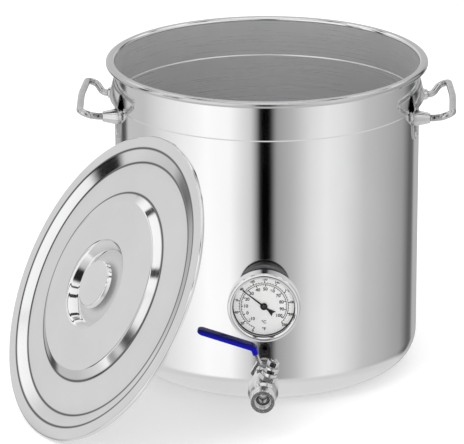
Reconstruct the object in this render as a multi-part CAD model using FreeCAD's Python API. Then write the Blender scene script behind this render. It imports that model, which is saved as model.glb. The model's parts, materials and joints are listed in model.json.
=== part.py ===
"""Stainless brew kettle: stock pot, riveted rod handles, dial thermometer, ball valve and lid.

Millimetres. +Z is up, the fittings face -Y, and the origin is the middle of the base underside.
"""
import FreeCAD, Part

import math
import os

V = FreeCAD.Vector
ORIGIN = V(0, 0, 0)
X_AXIS = V(1, 0, 0)
Y_AXIS = V(0, 1, 0)
Z_AXIS = V(0, 0, 1)

# Pot shell
WALL_R = 180.0
WALL_T = 1.2
POT_H = 374.0
CORNER_R = 36.0
BAND_STEP = 0.6
BAND_Z = 325.6
BAND_RISE = 1.4
RIM_W = 9.8
RIM_H = 7.2

# Sandwich base
BASE_H = 3.6
CAP_R = 140.8
CAP_T = 0.8
CORE_R = 138.8

# Rod handles and their brackets
ROD_R = 4.0
LEG_Y = 49.0
LEG_Z = 315.0
LEG_REACH = 17.0
FLARE_REACH = 26.0
FLARE_Y = 67.0
FLARE_RISE = 7.0
SHOULDER_REACH = 37.0
SHOULDER_Y = 64.0
SHOULDER_RISE = 11.0
GRIP_REACH = 39.5
GRIP_RISE = 12.5
HANDLE_BENDS = [9.0, 8.0, 8.0]
GRIP_BEND = 300.0
ROD_START_X = 177.0
BAND_HALF_ANGLE = 20.8
BAND_TOP = 346.0
BAND_FOLD_Z = 330.0
BRACKET_T = 1.4
BOSS_BASE_R = 11.0
BOSS_TIP_R = 6.2
BOSS_TIP_X = 190.5
BOSS_BACK_X = 168.0
PLATE_RIVET = (64.0, 320.4)
TAIL_RIVET = (49.0, 296.0)
RIVET_R = 2.4
RIVET_HEAD_R = 4.3
RIVET_HEAD_H = 1.9
RIVET_BACK_H = 1.5

# Bulkhead and ball valve, on an axis that runs forward from the wall
VALVE_Z = 50.0
THREAD_R = 10.4
THREAD_CLEAR = 0.05
PORT_R = 6.5
GASKET_R = 13.4
WALL_HOLE_CLEAR = 0.2
NIPPLE_IN = 163.0
NIPPLE_HEX_START = 183.2
NIPPLE_HEX_END = 191.2
NIPPLE_OUT = 223.0
VALVE_REAR = 215.0
CAP_SHOULDER = 228.0
JOINT_FACE = 233.0
BALL_OUT = 248.0
VALVE_FRONT = 281.0
CAP_SPIGOT_R = 13.0
SHOULDER_R = 15.6
HEX_AF = 27.0
LOCKNUT_AF = 30.0
BALL_R = 11.0
SEAT_GAP = 0.2
SEAT_FACE = 9.2
SEAT_INNER = 6.0
SPIGOT_END = BALL_OUT - SEAT_FACE
OUTLET_THREAD_R = 9.3
OUTLET_DEPTH = 14.0

# Stem and lever, on an axis that leans sideways out of the ball
STEM_LEAN = 18.0
STEM_R = 4.0
STEM_CLEAR = 0.06
STEM_FLANGE_R = 5.6
STEM_TOP_R = 3.5
STEM_SHOULDER = 29.6
STEM_END = 41.0
NECK_R = 9.0
NECK_TOP = 25.0
LEVER_T = 2.5
LEVER_W = 12.0
LEVER_HUB_R = 9.0
LEVER_LENGTH = 91.0
LEVER_RISE = 17.0
SLEEVE_W = 16.5
SLEEVE_T = 6.8

# Dial thermometer
DIAL_Z = 136.0
BEZEL_R = 41.7
CASE_R = 38.7
CASE_BACK = 189.0
CASE_FRONT = 204.0
DIAL_R = 37.2
DIAL_FACE = 201.3
PROBE_R = 3.1
PROBE_WALL = 0.5
PROBE_TIP = 115.0
SHANK_R = 6.4
NEEDLE_TURN = 51.7

# Lid, standing on its edge and leaning on the pot
LID_R = 182.0
LID_T = 1.0
LID_LEAN = 28.69
LID_FACING = 29.35
LID_CENTRE_X = -183.7
LID_CENTRE_Y = -210.1
LID_CURL = 3.5
FLOOR_GAP = 0.0
KNOB_R = 28.6
KNOB_TOP = 13.0
POST_R = 11.0
SCREW_R = 2.5


def revolved(face, angle=360.0):
    solid = face.revolve(ORIGIN, Z_AXIS, angle)
    if solid.Volume < 0:
        solid.reverse()
    return solid


def left_of(direction):
    return V(-direction.z, 0, direction.x)


def rounded_corner(before, at, after, radius):
    """Start, end and centre of the arc that rounds a corner of a route."""
    into = (at - before).normalize()
    out = (after - at).normalize()
    half_turn = into.getAngle(out) / 2
    cut = radius * math.tan(half_turn)
    centre = at + (out - into).normalize() * (radius / math.cos(half_turn))
    return at - into * cut, at + out * cut, centre


def line_if_long(start, end):
    if start.distanceToPoint(end) < 1e-6:
        return []
    return [Part.LineSegment(start, end).toShape()]


def route_edges(points, radii):
    """Straight runs joined by tangent arcs, through corners rounded to the radii."""
    edges = []
    last = points[0]
    for before, at, after, radius in zip(points, points[1:], points[2:], radii):
        start, end, centre = rounded_corner(before, at, after, radius)
        middle = centre + (at - centre).normalize() * radius
        edges += line_if_long(last, start)
        edges.append(Part.Arc(start, middle, end).toShape())
        last = end
    edges += line_if_long(last, points[-1])
    return edges


def side_edges(points, radii, shift):
    """The route's edges in the XZ plane, moved sideways by shift."""
    edges = []
    last = points[0] + left_of((points[1] - points[0]).normalize()) * shift
    first = last
    for before, at, after, radius in zip(points, points[1:], points[2:], radii):
        start, end, centre = rounded_corner(before, at, after, radius)
        into = (at - before).normalize()
        out = (after - at).normalize()
        turn = math.copysign(1.0, into.x * out.z - into.z * out.x)
        arc_start = start + left_of(into) * shift
        arc_end = end + left_of(out) * shift
        middle = centre + (at - centre).normalize() * (radius - turn * shift)
        edges += line_if_long(last, arc_start)
        edges.append(Part.Arc(arc_start, middle, arc_end).toShape())
        last = arc_end
    finish = points[-1] + left_of((points[-1] - points[-2]).normalize()) * shift
    edges += line_if_long(last, finish)
    return edges, first, finish


def sheet_section(pairs, radii, thickness):
    """A face of constant thickness along a route given as (x, z) pairs."""
    points = [V(x, 0, z) for x, z in pairs]
    one, one_start, one_end = side_edges(points, radii, thickness / 2)
    other, other_start, other_end = side_edges(points, radii, -thickness / 2)
    ends = line_if_long(one_start, other_start) + line_if_long(one_end, other_end)
    ordered = Part.__sortEdges__(one + other + ends)
    return Part.Face(Part.Wire(ordered))


def polygon_section(pairs):
    points = [V(x, 0, z) for x, z in pairs]
    return Part.Face(Part.makePolygon(points + points[:1]))


def cylinder(radius, low, high):
    return Part.makeCylinder(radius, high - low, V(0, 0, low))


def tube(inner, outer, low, high):
    return cylinder(outer, low, high).cut(cylinder(inner, low, high))


def hexagon(across_flats, low, high):
    corner_r = across_flats / math.sqrt(3)
    corners = [V(corner_r * math.cos(math.radians(60 * k)), corner_r * math.sin(math.radians(60 * k)), low)
               for k in range(7)]
    return Part.Face(Part.makePolygon(corners)).extrude(V(0, 0, high - low))


def hex_nut(across_flats, low, high, bore):
    """A hexagon whose corners are turned off at both ends."""
    corner_r = across_flats / math.sqrt(3)
    bevel = (corner_r - across_flats / 2) * 0.6
    turned = polygon_section([
        (0, low), (corner_r - bevel, low), (corner_r, low + bevel),
        (corner_r, high - bevel), (corner_r - bevel, high), (0, high)])
    return hexagon(across_flats, low, high).common(revolved(turned)).cut(cylinder(bore, low, high))


def facing_front(shape, height):
    """Turns a shape built along +Z so that it runs out along -Y at a height."""
    shape.rotate(ORIGIN, X_AXIS, 90)
    shape.translate(V(0, 0, height))
    return shape


def on_stem(shape):
    """Puts a shape built along +Z on the leaning stem axis of the valve."""
    shape.rotate(ORIGIN, Y_AXIS, STEM_LEAN)
    shape.translate(V(0, -BALL_OUT, VALVE_Z))
    return shape


def on_lid(shape):
    """Puts a shape built on the level lid where the lid stands."""
    lean = math.radians(LID_LEAN)
    centre_z = LID_R * math.cos(lean) + (LID_CURL + LID_T) * math.sin(lean) + FLOOR_GAP
    shape.rotate(ORIGIN, Y_AXIS, 90 - LID_LEAN)
    shape.rotate(ORIGIN, Z_AXIS, 180 + LID_FACING)
    shape.translate(V(LID_CENTRE_X, LID_CENTRE_Y, centre_z))
    return shape


def mirrored(shape):
    return shape.mirror(ORIGIN, X_AXIS)


# Pot

def wall_angle(y):
    return math.degrees(math.asin(y / (WALL_R + WALL_T)))


def rivet_places():
    """Angle from +X and height of the four rivets of one handle."""
    places = []
    for y, z in (PLATE_RIVET, TAIL_RIVET):
        places.append((wall_angle(y), z))
        places.append((wall_angle(-y), z))
    return places


def radial(shape, angle, height):
    """Turns a shape built along +Z so that it runs out of the wall at an angle from +X."""
    shape.rotate(ORIGIN, Y_AXIS, 90)
    shape.rotate(ORIGIN, Z_AXIS, angle)
    shape.translate(V(0, 0, height))
    return shape


def pot_section():
    mid_r = WALL_R - WALL_T / 2
    band_r = mid_r + BAND_STEP
    rim_top = POT_H - WALL_T / 2
    rim_low = POT_H - RIM_H + WALL_T / 2
    rim_out = WALL_R + RIM_W - WALL_T / 2
    roll_r = (rim_top - rim_low) / 2
    base_mid = BASE_H + WALL_T / 2
    return sheet_section([
        (0, base_mid), (mid_r, base_mid), (mid_r, BAND_Z), (band_r, BAND_Z + BAND_RISE),
        (band_r, rim_top), (rim_out, rim_top), (rim_out, rim_low), (band_r + 2 * WALL_T, rim_low)],
        [CORNER_R - WALL_T / 2, WALL_T, WALL_T, roll_r, roll_r, roll_r], WALL_T)


def kettle_shell():
    shell = revolved(pot_section())
    near_wall = WALL_R - 3 * CORNER_R / 2
    holes = [
        facing_front(cylinder(THREAD_R + WALL_HOLE_CLEAR, near_wall, WALL_R + WALL_T), VALVE_Z),
        facing_front(cylinder(SHANK_R + WALL_HOLE_CLEAR, near_wall, WALL_R + WALL_T), DIAL_Z)]
    for angle, height in rivet_places():
        for side in (angle, 180 - angle):
            holes.append(radial(cylinder(RIVET_R, near_wall, WALL_R + 2 * WALL_T), side, height))
    return shell.cut(holes)


def base_cap():
    mid_r = CAP_R - CAP_T / 2
    mid_z = CAP_T / 2
    return revolved(sheet_section([(0, mid_z), (mid_r, mid_z), (mid_r, BASE_H)], [1.5], CAP_T))


def base_core_disc():
    return cylinder(CORE_R, CAP_T, BASE_H)


# Handles

def bracket_band():
    """Curved upper strip of the bracket, creased so that its lower edge stands off the wall."""
    foot_r = WALL_R + BAND_STEP + BRACKET_T / 2
    section = sheet_section(
        [(foot_r, BAND_TOP), (foot_r + 4.2, BAND_FOLD_Z), (foot_r, BAND_FOLD_Z - 4.5)],
        [BRACKET_T], BRACKET_T)
    band = revolved(section, angle=2 * BAND_HALF_ANGLE)
    band.rotate(ORIGIN, Z_AXIS, -BAND_HALF_ANGLE)
    return band


def bracket_foot(side):
    """Plate behind one rod leg, with a tail that narrows down to its lower rivet."""
    outline = [(38, 17), (67, 17), (71, 12), (70, 2), (58, -6), (56, -19),
               (53, -25), (45, -25), (42, -19), (40, -6), (37, 3)]
    corners = [V(0, side * y, LEG_Z + rise) for y, rise in outline]
    plate = Part.Face(Part.makePolygon(corners + corners[:1])).extrude(V(2 * WALL_R, 0, 0))
    low = LEG_Z + outline[6][1] - WALL_T
    ring = tube(WALL_R, WALL_R + BAND_STEP + BRACKET_T, low, BAND_FOLD_Z - 2)
    ring = ring.cut(cylinder(WALL_R + BAND_STEP, BAND_Z - WALL_T, BAND_FOLD_Z))
    return ring.common(plate)


def bracket_boss(side, shrink):
    boss = Part.makeCone(BOSS_BASE_R - shrink, BOSS_TIP_R - shrink, BOSS_TIP_X - BOSS_BACK_X, ORIGIN, X_AXIS)
    boss.translate(V(BOSS_BACK_X, side * LEG_Y, LEG_Z))
    return boss


def handle_bracket():
    bracket = bracket_band()
    for side in (-1, 1):
        bracket = bracket.fuse(bracket_foot(side))
        bracket = bracket.fuse(bracket_boss(side, 0))
    for side in (-1, 1):
        inside = bracket_boss(side, BRACKET_T)
        inside.translate(V(-BRACKET_T, 0, 0))
        bracket = bracket.cut(inside)
        rod_hole = Part.makeCylinder(ROD_R + 0.05, 2 * BOSS_TIP_X, V(0, side * LEG_Y, LEG_Z), X_AXIS)
        bracket = bracket.cut(rod_hole)
    bracket = bracket.cut(cylinder(WALL_R, BASE_H, BAND_Z))
    bracket = bracket.cut(cylinder(WALL_R + BAND_STEP, BAND_Z - WALL_T, POT_H))
    for angle, height in rivet_places():
        bracket = bracket.cut(radial(cylinder(RIVET_R, WALL_R - 4, WALL_R + 14), angle, height))
    return bracket.removeSplitter()


def handle_rod():
    start = V(ROD_START_X, LEG_Y, LEG_Z)
    bend = V(WALL_R + LEG_REACH, LEG_Y, LEG_Z)
    flare = V(WALL_R + FLARE_REACH, FLARE_Y, LEG_Z + FLARE_RISE)
    shoulder = V(WALL_R + SHOULDER_REACH, SHOULDER_Y, LEG_Z + SHOULDER_RISE)
    middle = V(WALL_R + GRIP_REACH, 0, LEG_Z + GRIP_RISE)
    half = [start, bend, flare, shoulder]
    points = half + [middle] + [V(p.x, -p.y, p.z) for p in reversed(half)]
    route = Part.Wire(route_edges(points, HANDLE_BENDS + [GRIP_BEND] + HANDLE_BENDS[::-1]))
    section = Part.Wire(Part.makeCircle(ROD_R, start, X_AXIS))
    return route.makePipeShell([section], True, False)


def rivet():
    """One rivet along +Z: domed head outside the bracket, shank, and a flat head inside the pot."""
    outside = WALL_R + BAND_STEP + BRACKET_T
    inside = WALL_R - WALL_T
    ball_r = (RIVET_HEAD_H ** 2 + RIVET_HEAD_R ** 2) / (2 * RIVET_HEAD_H)
    ball = Part.makeSphere(ball_r, V(0, 0, outside + RIVET_HEAD_H - ball_r))
    dome = ball.common(cylinder(RIVET_HEAD_R + 1, outside, outside + RIVET_HEAD_H + 1))
    back = cylinder(RIVET_HEAD_R - 1, inside - RIVET_BACK_H, inside - 0.1)
    return cylinder(RIVET_R, inside - 1, outside + 0.5).fuse(dome).fuse(back)


def handle_rivets():
    return Part.Compound([radial(rivet(), angle, height) for angle, height in rivet_places()])


# Bulkhead fitting, from the inside of the pot outwards

def bulkhead_nipple():
    body = cylinder(THREAD_R, NIPPLE_IN, NIPPLE_OUT).fuse(hexagon(HEX_AF, NIPPLE_HEX_START, NIPPLE_HEX_END))
    return facing_front(body.cut(cylinder(PORT_R, NIPPLE_IN, NIPPLE_OUT)), VALVE_Z)


def pot_outside():
    """Solid that fills the pot up to the outer face of its wall, with the rounded corner."""
    block = cylinder(WALL_R, BASE_H, BAND_Z)
    return block.makeFillet(CORNER_R, [edge for edge in block.Edges if edge.BoundBox.ZMax < BASE_H + 1])


def pot_inside():
    """Solid that fills the pot up to the inner face of its wall."""
    block = cylinder(WALL_R - WALL_T, BASE_H + WALL_T, BAND_Z)
    low = [edge for edge in block.Edges if edge.BoundBox.ZMax < BASE_H + WALL_T + 1]
    return block.makeFillet(CORNER_R - WALL_T, low)


def wall_gasket(hole_r, outer_r, height):
    """Ring whose back follows the curve of the wall outside."""
    ring = facing_front(tube(hole_r, outer_r, WALL_R - outer_r / 2, NIPPLE_HEX_START), height)
    return ring.cut(pot_outside())


def bulkhead_gasket_outer():
    return wall_gasket(THREAD_R + THREAD_CLEAR, GASKET_R, VALVE_Z)


def bulkhead_gasket_inner():
    ring = facing_front(tube(THREAD_R + THREAD_CLEAR, GASKET_R, NIPPLE_IN + 12.4, WALL_R), VALVE_Z)
    return ring.common(pot_inside())


def bulkhead_locknut():
    nut = hex_nut(LOCKNUT_AF, NIPPLE_IN + 5, NIPPLE_IN + 12.4, THREAD_R + THREAD_CLEAR)
    return facing_front(nut, VALVE_Z)


# Ball valve

def ball_space(clearance):
    space = Part.makeSphere(BALL_R + clearance)
    space.translate(V(0, 0, BALL_OUT))
    return space


def valve_body():
    outer = polygon_section([
        (0, JOINT_FACE), (SHOULDER_R, JOINT_FACE), (17.2, JOINT_FACE + 3), (17.2, BALL_OUT + 5),
        (15.0, BALL_OUT + 11), (12.2, BALL_OUT + 15), (12.2, BALL_OUT + 17), (14.0, BALL_OUT + 18.5),
        (14.0, VALVE_FRONT - 0.8), (13.2, VALVE_FRONT), (0, VALVE_FRONT)])
    body = facing_front(revolved(outer), VALVE_Z)
    body = body.fuse(on_stem(cylinder(NECK_R, 12, NECK_TOP)))
    body = body.fuse(on_stem(hexagon(2 * NECK_R + 1, 16, NECK_TOP - 4)))
    cavity = cylinder(CAP_SPIGOT_R, JOINT_FACE, SPIGOT_END)
    cavity = cavity.fuse(cylinder(12.0, SPIGOT_END, BALL_OUT + SEAT_FACE))
    cavity = cavity.fuse(cylinder(PORT_R, BALL_OUT, VALVE_FRONT))
    cavity = cavity.fuse(cylinder(OUTLET_THREAD_R, VALVE_FRONT - OUTLET_DEPTH, VALVE_FRONT))
    body = body.cut(facing_front(cavity, VALVE_Z))
    stem_room = cylinder(STEM_FLANGE_R + 0.4, 10.5, 14.5)
    stem_room = stem_room.fuse(cylinder(STEM_R + STEM_CLEAR, 10.5, NECK_TOP))
    stem_room = stem_room.fuse(cylinder(6.3, 18.0, NECK_TOP))
    return body.cut(on_stem(stem_room))


def valve_end_cap():
    cap = hexagon(HEX_AF, VALVE_REAR, CAP_SHOULDER).fuse(cylinder(SHOULDER_R, CAP_SHOULDER, JOINT_FACE))
    cap = cap.fuse(cylinder(CAP_SPIGOT_R - THREAD_CLEAR, JOINT_FACE, SPIGOT_END))
    cap = cap.cut(cylinder(THREAD_R + THREAD_CLEAR, VALVE_REAR, NIPPLE_OUT))
    cap = cap.cut(cylinder(PORT_R, VALVE_REAR, SPIGOT_END))
    return facing_front(cap, VALVE_Z)


def valve_seat(low, high):
    return facing_front(tube(PORT_R, 11.8, low, high).cut(ball_space(SEAT_GAP)), VALVE_Z)


def valve_seat_rear():
    return valve_seat(BALL_OUT - SEAT_FACE, BALL_OUT - SEAT_INNER)


def valve_seat_front():
    return valve_seat(BALL_OUT + SEAT_INNER, BALL_OUT + SEAT_FACE)


def valve_ball():
    """Ball with its port across the flow, as it stands when the valve is shut."""
    ball = Part.makeSphere(BALL_R)
    ball = ball.cut(Part.makeCylinder(PORT_R, 3 * BALL_R, V(-1.5 * BALL_R, 0, 0), X_AXIS))
    slot = Part.makeBox(4.2, 2 * BALL_R, 3, V(-2.1, -BALL_R, BALL_R - 2.6))
    return on_stem(ball.cut(slot))


def valve_stem():
    stem = Part.makeBox(4.0, 8.0, 3.0, V(-2.0, -4.0, BALL_R - 2.5))
    stem = stem.fuse(cylinder(STEM_FLANGE_R, 11.4, 13.4))
    stem = stem.fuse(cylinder(STEM_R, 13.4, STEM_SHOULDER))
    stem = stem.fuse(cylinder(STEM_TOP_R, STEM_SHOULDER, STEM_END))
    return on_stem(stem)


def stem_thrust_washer():
    return on_stem(tube(STEM_R, STEM_FLANGE_R + 0.1, 13.4, 14.4))


def stem_packing():
    return on_stem(tube(STEM_R + STEM_CLEAR, 6.25, 18.0, 21.0))


def gland_nut():
    nut = hex_nut(15, NECK_TOP, STEM_SHOULDER - 0.6, STEM_R + STEM_CLEAR)
    return on_stem(nut.fuse(tube(STEM_R + STEM_CLEAR, 6.25, 21.0, NECK_TOP)))


def lever_route():
    low = STEM_SHOULDER + LEVER_T / 2
    high = low + LEVER_RISE
    return [(0, low), (-14, low), (-27, high), (-LEVER_LENGTH, high)]


def lever_bar():
    bar = sheet_section(lever_route(), [5.0, 6.0], LEVER_T).extrude(V(0, LEVER_W, 0))
    bar.translate(V(0, -LEVER_W / 2, 0))
    return bar


def lever_handle():
    hub = cylinder(LEVER_HUB_R, STEM_SHOULDER, STEM_SHOULDER + LEVER_T)
    stop_lug = Part.makeBox(6, 5, LEVER_T, V(-3, LEVER_HUB_R - 2, STEM_SHOULDER))
    plate = hub.fuse(stop_lug).fuse(lever_bar())
    return on_stem(plate.cut(cylinder(STEM_TOP_R, STEM_SHOULDER, STEM_SHOULDER + LEVER_T)))


def lever_sleeve():
    """Dipped vinyl grip with rounded edges, closed over the end of the bar."""
    start, rise_start, rise_end, tip = lever_route()
    along = 0.62
    foot = (rise_start[0] + along * (rise_end[0] - rise_start[0]),
            rise_start[1] + along * (rise_end[1] - rise_start[1]))
    grip = sheet_section([foot, rise_end, (tip[0] - 2.5, tip[1])], [6.0], SLEEVE_T)
    sleeve = grip.extrude(V(0, SLEEVE_W, 0))
    sleeve.translate(V(0, -SLEEVE_W / 2, 0))
    long_edges = [edge for edge in sleeve.Edges
                  if edge.Length > SLEEVE_W + 1 and abs(edge.BoundBox.YLength) < 0.01]
    return on_stem(sleeve.makeFillet(2.2, long_edges).cut(lever_bar()))


def stem_lock_washer():
    low = STEM_SHOULDER + LEVER_T
    return on_stem(tube(STEM_TOP_R, 6.4, low, low + 1.1))


def stem_nut():
    low = STEM_SHOULDER + LEVER_T + 1.1
    return on_stem(hex_nut(12, low, low + 5.8, STEM_TOP_R))


# Dial thermometer

def thermometer_hub():
    hub = cylinder(SHANK_R, NIPPLE_IN, NIPPLE_HEX_START).fuse(hexagon(19, NIPPLE_HEX_START, CASE_BACK))
    return facing_front(hub.cut(cylinder(PROBE_R, NIPPLE_IN, CASE_BACK)), DIAL_Z)


def thermometer_gasket():
    return wall_gasket(SHANK_R + THREAD_CLEAR, 10.6, DIAL_Z)


def thermometer_locknut():
    return facing_front(hex_nut(20, 171.0, 177.9, SHANK_R + THREAD_CLEAR), DIAL_Z)


def probe_tube():
    outer = cylinder(PROBE_R, PROBE_TIP, CASE_BACK + 1)
    return facing_front(outer.cut(cylinder(PROBE_R - PROBE_WALL, PROBE_TIP + 1, CASE_BACK + 1)), DIAL_Z)


def bimetal_coil():
    return facing_front(tube(1.4, 2.2, PROBE_TIP + 3, PROBE_TIP + 43), DIAL_Z)


def pointer_spindle():
    return facing_front(cylinder(0.7, PROBE_TIP + 4, DIAL_FACE + 1.2), DIAL_Z)


def thermometer_case():
    wall = sheet_section(
        [(PROBE_R, CASE_BACK + 0.5), (CASE_R - 0.5, CASE_BACK + 0.5), (CASE_R - 0.5, CASE_FRONT)],
        [4.0], 1.0)
    return facing_front(revolved(wall), DIAL_Z)


def dial_plate():
    return facing_front(tube(1.6, DIAL_R, DIAL_FACE - 0.8, DIAL_FACE), DIAL_Z)


def pointer():
    """Slim needle with a round boss and a tail that widens outwards."""
    low = DIAL_FACE + 1.2
    high = low + 0.6
    needle = [(-0.9, 3.0), (-0.35, 30.5), (0.35, 30.5), (0.9, 3.0)]
    tail = [(-1.0, -3.0), (-1.3, -6.5), (-3.7, -14.4), (0.0, -12.8), (3.7, -14.4), (1.3, -6.5), (1.0, -3.0)]
    shape = cylinder(4.1, low, low + 1.0)
    for outline in (needle, tail):
        corners = [V(x, y, low) for x, y in outline]
        shape = shape.fuse(Part.Face(Part.makePolygon(corners + corners[:1])).extrude(V(0, 0, high - low)))
    shape.rotate(ORIGIN, Z_AXIS, NEEDLE_TURN)
    return facing_front(shape, DIAL_Z)


def lens_gasket():
    return facing_front(tube(CASE_R - 1.5, CASE_R + 1.2, CASE_FRONT, CASE_FRONT + 1.5), DIAL_Z)


def thermometer_lens():
    return facing_front(cylinder(CASE_R + 1.2, CASE_FRONT + 1.5, CASE_FRONT + 3.5), DIAL_Z)


def thermometer_bezel():
    mid_r = BEZEL_R - 0.5
    front = CASE_FRONT + 5.6
    ring = sheet_section([
        (CASE_R - 2.6, CASE_FRONT + 4.1), (CASE_R - 0.4, front), (mid_r, front - 1.6),
        (mid_r, CASE_BACK + 4), (CASE_R + 0.2, CASE_BACK + 3.4)], [1.6, 2.0, 1.5], 1.0)
    return facing_front(revolved(ring), DIAL_Z)


# Lid

def lid_shell():
    """Pressed lid: flat flange with a turned-down edge, stepped rings and a sunk finger pan."""
    edge_r = LID_R - LID_T / 2
    section = sheet_section([
        (0, -1.0), (45.0, -1.0), (52.8, 11.5), (101.2, 6.0), (112.1, 0.0), (151.0, -6.0),
        (167.0, 0.0), (edge_r, 0.0), (edge_r, -LID_CURL)],
        [6.0, 5.0, 6.0, 6.0, 8.0, 6.0, 1.6], LID_T)
    return on_lid(revolved(section).cut(cylinder(SCREW_R + 0.1, -3, 3)))


def lid_knob_post():
    low = -1.0 + LID_T / 2
    high = KNOB_TOP - 1.2
    mid = low + 0.5
    section = sheet_section([(POST_R - 4, mid), (POST_R, mid), (POST_R + 1.5, high - 0.5)], [1.0], 1.0)
    core = cylinder(POST_R - 3, low, high)
    post = core.fuse(revolved(section)).cut(cylinder(SCREW_R, low, high - 2))
    return on_lid(post)


def lid_knob_cap():
    mid = KNOB_TOP - 0.6
    section = sheet_section([(0, mid), (KNOB_R - 1.6, mid), (KNOB_R - 0.6, mid - 4.4)], [1.6], 1.2)
    return on_lid(revolved(section))


def lid_knob_washer():
    high = -1.0 - LID_T / 2
    return on_lid(tube(SCREW_R + 0.1, 7.5, high - 1.2, high))


def lid_knob_screw():
    under = -1.0 - LID_T / 2 - 1.2
    head = cylinder(4.6, under - 2.4, under)
    return on_lid(head.fuse(cylinder(SCREW_R, under, KNOB_TOP - 4)))


SINGLE_PIECES = [
    kettle_shell, base_cap, base_core_disc,
    bulkhead_nipple, bulkhead_gasket_outer, bulkhead_gasket_inner, bulkhead_locknut,
    valve_body, valve_end_cap, valve_seat_rear, valve_seat_front, valve_ball, valve_stem,
    stem_thrust_washer, stem_packing, gland_nut, lever_handle, lever_sleeve, stem_lock_washer, stem_nut,
    thermometer_hub, thermometer_gasket, thermometer_locknut, probe_tube, bimetal_coil, pointer_spindle,
    thermometer_case, dial_plate, pointer, lens_gasket, thermometer_lens, thermometer_bezel,
    lid_shell, lid_knob_post, lid_knob_cap, lid_knob_washer, lid_knob_screw]
PIECES_PER_SIDE = [handle_bracket, handle_rod, handle_rivets]


def write_step(name, shape):
    shape.exportStep("parts/" + name + ".step")


def main():
    os.makedirs("parts", exist_ok=True)
    for piece in SINGLE_PIECES:
        write_step(piece.__name__, piece())
    for piece in PIECES_PER_SIDE:
        shape = piece()
        write_step(piece.__name__ + "_right", shape)
        write_step(piece.__name__ + "_left", mirrored(shape))


main()
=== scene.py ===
"""Looks of the stainless brew kettle: materials, dial printing, threads, studio and camera."""

import json
import math

import bmesh
import bpy
from mathutils import Matrix, Vector

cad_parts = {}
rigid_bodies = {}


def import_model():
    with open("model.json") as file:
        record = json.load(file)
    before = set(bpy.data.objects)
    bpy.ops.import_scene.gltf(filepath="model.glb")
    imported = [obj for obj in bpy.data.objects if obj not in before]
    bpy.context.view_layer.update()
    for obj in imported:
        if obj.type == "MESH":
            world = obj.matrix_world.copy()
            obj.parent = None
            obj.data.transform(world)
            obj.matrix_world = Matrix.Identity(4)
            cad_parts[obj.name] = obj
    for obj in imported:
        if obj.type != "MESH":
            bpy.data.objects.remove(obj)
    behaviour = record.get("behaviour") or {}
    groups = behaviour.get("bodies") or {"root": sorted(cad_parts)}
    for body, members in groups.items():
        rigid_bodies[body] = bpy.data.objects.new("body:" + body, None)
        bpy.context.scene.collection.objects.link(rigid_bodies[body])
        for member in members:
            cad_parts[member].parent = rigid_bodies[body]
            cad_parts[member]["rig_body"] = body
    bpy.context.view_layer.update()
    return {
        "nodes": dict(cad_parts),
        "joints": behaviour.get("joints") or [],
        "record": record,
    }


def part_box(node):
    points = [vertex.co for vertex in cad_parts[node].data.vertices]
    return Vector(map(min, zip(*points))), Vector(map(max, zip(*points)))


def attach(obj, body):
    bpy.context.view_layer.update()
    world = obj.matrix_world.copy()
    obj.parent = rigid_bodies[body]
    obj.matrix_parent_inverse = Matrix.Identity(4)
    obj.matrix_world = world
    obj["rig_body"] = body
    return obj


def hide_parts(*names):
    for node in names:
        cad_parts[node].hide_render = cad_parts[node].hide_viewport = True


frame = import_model()
nodes = frame["nodes"]
joints = {joint["name"]: joint for joint in frame["joints"]}

MM = 0.001
FULL_TURN = 2 * math.pi


def middle(node):
    low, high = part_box(node)
    return (low + high) / 2


def front_frame(place):
    """Local +Z runs out along -Y through a place."""
    return Matrix.Translation(place) @ Matrix.Rotation(math.radians(90), 4, "X")


def leaning_frame(base, axis):
    """Local +Z is an axis that leans out of the vertical, and local X stays in its plane of lean."""
    spin = Matrix.Rotation(math.atan2(axis.y, axis.x), 4, "Z")
    tip = Matrix.Rotation(math.acos(axis.z), 4, "Y")
    return Matrix.Translation(base) @ spin @ tip


# Places, in metres, read from the frame
POT_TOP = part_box("kettle_shell")[1].z
STEP_BELOW_TOP = 48.4 * MM
LEGS_BELOW_TOP = 59.0 * MM
WALL_R = 180.0 * MM
DIAL_CENTRE = middle("dial_plate")
DIAL_FACE_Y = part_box("dial_plate")[0].y
DRAWN_DIAL_R = 36.0 * MM
PRINT_SCALE = (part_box("dial_plate")[1].x - DIAL_CENTRE.x) / DRAWN_DIAL_R
VALVE_AXIS = Vector((0, 0, middle("valve_end_cap").z))
VALVE_FRONT = -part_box("valve_body")[0].y / MM
STEM_AXIS = Vector(joints["valve_turn"]["axis"]).normalized()
STEM_FRAME = leaning_frame(Vector(joints["valve_turn"]["pos_m"]), STEM_AXIS)
LID_AXIS = Vector(joints["lid_lift"]["axis"]).normalized()
WASHER_DEPTH = 2.1 * MM
LID_FRAME = leaning_frame(middle("lid_knob_washer") + LID_AXIS * WASHER_DEPTH, LID_AXIS)
DIAL_FRAME = front_frame((0, 0, DIAL_CENTRE.z))
VALVE_FRAME = front_frame(VALVE_AXIS)


# Meshes

def new_object(name, data):
    obj = bpy.data.objects.new(name, data)
    bpy.context.scene.collection.objects.link(obj)
    return obj


def mesh_object(name, verts, faces, sharp_angle=30.0, place=None):
    """A smooth-shaded mesh with its faces turned outwards, its points placed by a local frame."""
    mesh = bpy.data.meshes.new(name)
    mesh.from_pydata([tuple(v) for v in verts], [], faces)
    if place is not None:
        mesh.transform(place)
    work = bmesh.new()
    work.from_mesh(mesh)
    bmesh.ops.recalc_face_normals(work, faces=work.faces)
    work.to_mesh(mesh)
    work.free()
    for polygon in mesh.polygons:
        polygon.use_smooth = True
    mesh.set_sharp_from_angle(angle=math.radians(sharp_angle))
    return new_object(name, mesh)


def left_of(direction):
    return Vector((-direction.y, direction.x))


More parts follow.
